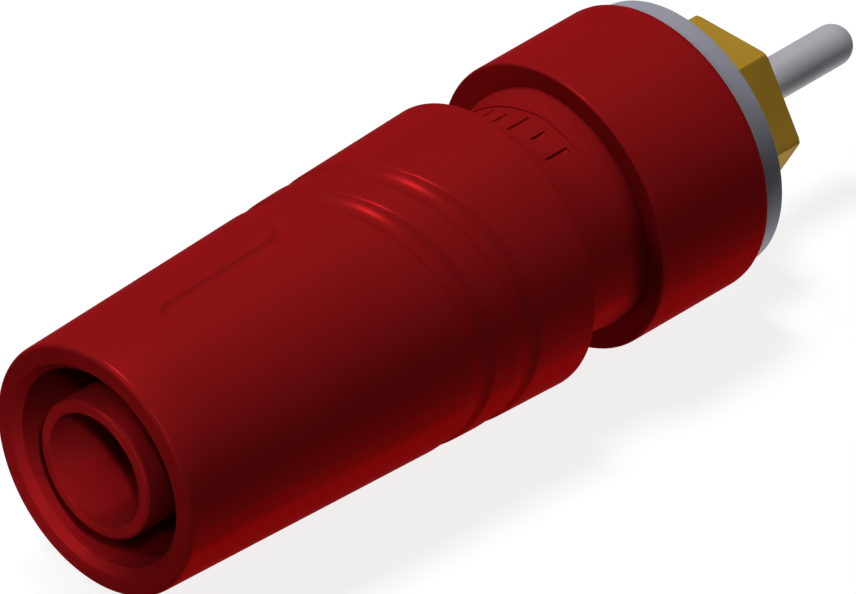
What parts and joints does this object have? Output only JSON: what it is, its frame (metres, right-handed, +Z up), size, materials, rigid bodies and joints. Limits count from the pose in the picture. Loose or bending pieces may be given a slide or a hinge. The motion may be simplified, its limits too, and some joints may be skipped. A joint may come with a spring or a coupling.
{
  "type": "safety banana socket",
  "caption": "Insulated panel socket for a shrouded 4 mm plug, with a screw-down knob over a wire hole, a collar, an insulating washer, a hexagon nut and a solder pin.",
  "frame": {"origin": "on the axis, in the plane of the collar's rear face, which seats on the panel", "axes": "+Y along the axis from the mouth to the solder pin, +Z up"},
  "size_m": [0.013, 0.044, 0.013],
  "materials": {
    "red_plastic": "satin moulded",
    "grey_plastic": "satin moulded",
    "brass": "machined",
    "nickel_plate": "satin nickel over brass",
    "spring_steel": "plain",
    "tinned_pin": "tinned"
  },
  "bodies": {
    "base": {"base_body": "red_plastic", "terminal_post": "nickel_plate", "solder_pin": "tinned_pin"},
    "clamp": {"clamp_cup": "spring_steel"},
    "knob": {"knob_shell": "red_plastic", "contact_sleeve": "red_plastic", "thread_bush": "brass", "stop_ring": "spring_steel"},
    "washer": {"rear_washer": "grey_plastic"},
    "nut": {"hex_nut": "brass"}
  },
  "joints": [
    {"name": "clamp_feed", "type": "slide", "parent": "base", "child": "clamp", "axis": [0, -1, 0], "range_m": [0, 0.00335]},
    {"name": "knob_turn", "type": "hinge", "parent": "clamp", "child": "knob", "pos_m": [0, -0.01254, 0], "axis": [0, -1, 0], "range_deg": [0, 2412.1]},
    {"name": "washer_slide", "type": "slide", "parent": "base", "child": "washer", "axis": [0, 1, 0], "range_m": [0, 0.002]},
    {"name": "nut_turn", "type": "hinge", "parent": "washer", "child": "nut", "pos_m": [0, 0.0026, 0], "axis": [0, 1, 0], "range_deg": [0, 1028.6]}
  ],
  "couplings": [
    {"joint": "knob_turn", "follows": "clamp_feed", "rad_per_m": 12566},
    {"joint": "nut_turn", "follows": "washer_slide", "rad_per_m": 8976}
  ]
}
